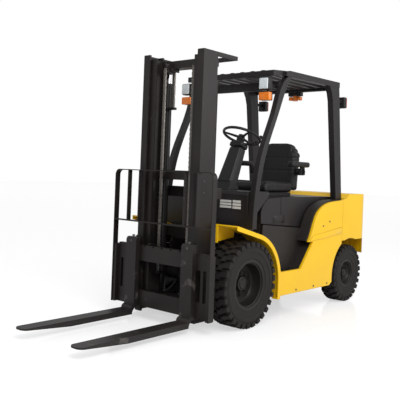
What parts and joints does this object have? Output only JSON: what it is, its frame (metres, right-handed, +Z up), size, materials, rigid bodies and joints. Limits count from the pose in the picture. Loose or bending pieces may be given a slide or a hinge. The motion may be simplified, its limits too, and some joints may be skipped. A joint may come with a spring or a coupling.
{
  "type": "forklift truck",
  "caption": "Counterbalance forklift truck with a two-stage lifting and tilting mast, fork carriage, overhead guard, opening hood and rear-wheel steering.",
  "frame": {"origin": "on the floor under the middle of the whole truck's box", "axes": "+Z up, -Y towards the fork tips, +X towards the operator's left"},
  "size_m": [1.2, 3.676, 2.2306],
  "materials": {
    "body_yellow": "gloss",
    "fender_yellow": "gloss",
    "frame_paint": "satin",
    "charcoal_paint": "satin",
    "mast_paint": "satin",
    "fork_paint": "worn satin",
    "cylinder_paint": "satin",
    "tilt_paint": "satin",
    "rod_chrome": "polished",
    "chain_steel": "oiled",
    "rim_paint": "satin",
    "tyre_rubber": "matte",
    "axle_paint": "painted",
    "engine_iron": "rough",
    "floor_mat": "matte",
    "black_plastic": "grained",
    "lever_steel": "satin",
    "seat_vinyl": "grained",
    "lamp_lens": "clear",
    "amber_lens": "clear",
    "red_lens": "clear"
  },
  "bodies": {
    "chassis": {"frame": "frame_paint", "fenders": "fender_yellow", "side_panels": "body_yellow", "side_covers": "frame_paint", "counterweight": "body_yellow", "floor_plate": "floor_mat", "pedals": "lever_steel", "cowl": "charcoal_paint", "column_cover": "black_plastic", "control_levers": "lever_steel", "engine_block": "engine_iron", "radiator_cover": "charcoal_paint", "guard_front": "charcoal_paint", "guard_roof": "charcoal_paint", "guard_rear": "charcoal_paint", "headlamps": "lamp_lens", "turn_signals": "amber_lens", "rear_lamps": "red_lens", "rear_beacon": "amber_lens", "hood_front": "charcoal_paint", "drive_axle": "axle_paint", "steer_axle": "axle_paint"},
    "mast_outer": {"outer_rails": "mast_paint", "outer_ties": "mast_paint", "lift_barrels": "cylinder_paint", "chain_rear": "chain_steel"},
    "mast_inner": {"inner_rails": "mast_paint", "inner_ties": "mast_paint", "lift_rods": "rod_chrome", "chain_front": "chain_steel"},
    "carriage": {"carriage": "mast_paint", "backrest": "mast_paint", "fork_left": "fork_paint", "fork_right": "fork_paint"},
    "tilt_barrels": {"tilt_barrels": "tilt_paint"},
    "tilt_rods": {"tilt_rods": "rod_chrome"},
    "front_wheel_left": {"front_tyre_left": "tyre_rubber", "front_rim_left": "rim_paint"},
    "front_wheel_right": {"front_tyre_right": "tyre_rubber", "front_rim_right": "rim_paint"},
    "knuckle_left": {"knuckle_left": "axle_paint"},
    "knuckle_right": {"knuckle_right": "axle_paint"},
    "rear_wheel_left": {"rear_tyre_left": "tyre_rubber", "rear_rim_left": "rim_paint"},
    "rear_wheel_right": {"rear_tyre_right": "tyre_rubber", "rear_rim_right": "rim_paint"},
    "steer_rod": {"steer_rod": "rod_chrome"},
    "steering_wheel": {"steering_wheel": "black_plastic"},
    "hood": {"hood": "charcoal_paint", "seat_base": "black_plastic", "seat_cushion": "seat_vinyl", "seat_back": "seat_vinyl", "armrests": "black_plastic"}
  },
  "joints": [
    {"name": "mast_tilt", "type": "hinge", "parent": "chassis", "child": "mast_outer", "pos_m": [0, -0.282, 0.353], "axis": [1, 0, 0], "range_deg": [-10, 6]},
    {"name": "mast_lift", "type": "slide", "parent": "mast_outer", "child": "mast_inner", "axis": [0, 0, 1], "range_m": [0, 1.6], "deforming": ["chain_rear"]},
    {"name": "carriage_lift", "type": "slide", "parent": "mast_inner", "child": "carriage", "axis": [0, 0, 1], "range_m": [0, 1.6], "deforming": ["chain_front"]},
    {"name": "tilt_barrel_swing", "type": "hinge", "parent": "chassis", "child": "tilt_barrels", "pos_m": [0, 0.086, 0.584], "axis": [1, 0, 0], "range_deg": [-3.7, 2.3]},
    {"name": "tilt_rod_slide", "type": "slide", "parent": "tilt_barrels", "child": "tilt_rods", "axis": [0, -0.9961, 0.0877], "range_m": [-0.0475, 0.0285]},
    {"name": "front_wheel_left_spin", "type": "hinge", "parent": "chassis", "child": "front_wheel_left", "pos_m": [0.485, -0.282, 0.353], "axis": [1, 0, 0], "continuous": true},
    {"name": "front_wheel_right_spin", "type": "hinge", "parent": "chassis", "child": "front_wheel_right", "pos_m": [-0.485, -0.282, 0.353], "axis": [1, 0, 0], "continuous": true},
    {"name": "steer_left", "type": "hinge", "parent": "chassis", "child": "knuckle_left", "pos_m": [0.38, 1.418, 0.285], "axis": [0, 0, 1], "range_deg": [-70, 70]},
    {"name": "steer_right", "type": "hinge", "parent": "chassis", "child": "knuckle_right", "pos_m": [-0.38, 1.418, 0.285], "axis": [0, 0, 1], "range_deg": [-70, 70]},
    {"name": "rear_wheel_left_spin", "type": "hinge", "parent": "knuckle_left", "child": "rear_wheel_left", "pos_m": [0.48, 1.418, 0.285], "axis": [1, 0, 0], "continuous": true},
    {"name": "rear_wheel_right_spin", "type": "hinge", "parent": "knuckle_right", "child": "rear_wheel_right", "pos_m": [-0.48, 1.418, 0.285], "axis": [1, 0, 0], "continuous": true},
    {"name": "steer_rod_slide", "type": "slide", "parent": "chassis", "child": "steer_rod", "axis": [1, 0, 0], "range_m": [-0.071, 0.071]},
    {"name": "steering_wheel_turn", "type": "hinge", "parent": "chassis", "child": "steering_wheel", "pos_m": [0, 0.2963, 1.60554], "axis": [0, 0.4067, 0.9135], "continuous": true},
    {"name": "hood_open", "type": "hinge", "parent": "chassis", "child": "hood", "pos_m": [0, 1.291, 1.007], "axis": [-1, 0, 0], "range_deg": [0, 45]}
  ],
  "couplings": [
    {"joint": "carriage_lift", "follows": "mast_lift", "ratio": 1},
    {"joint": "tilt_barrel_swing", "follows": "mast_tilt", "ratio": 0.36},
    {"joint": "tilt_rod_slide", "follows": "mast_tilt", "m_per_rad": 0.2675},
    {"joint": "steer_right", "follows": "steer_left", "ratio": 1},
    {"joint": "steer_rod_slide", "follows": "steer_left", "m_per_rad": -0.0577}
  ]
}
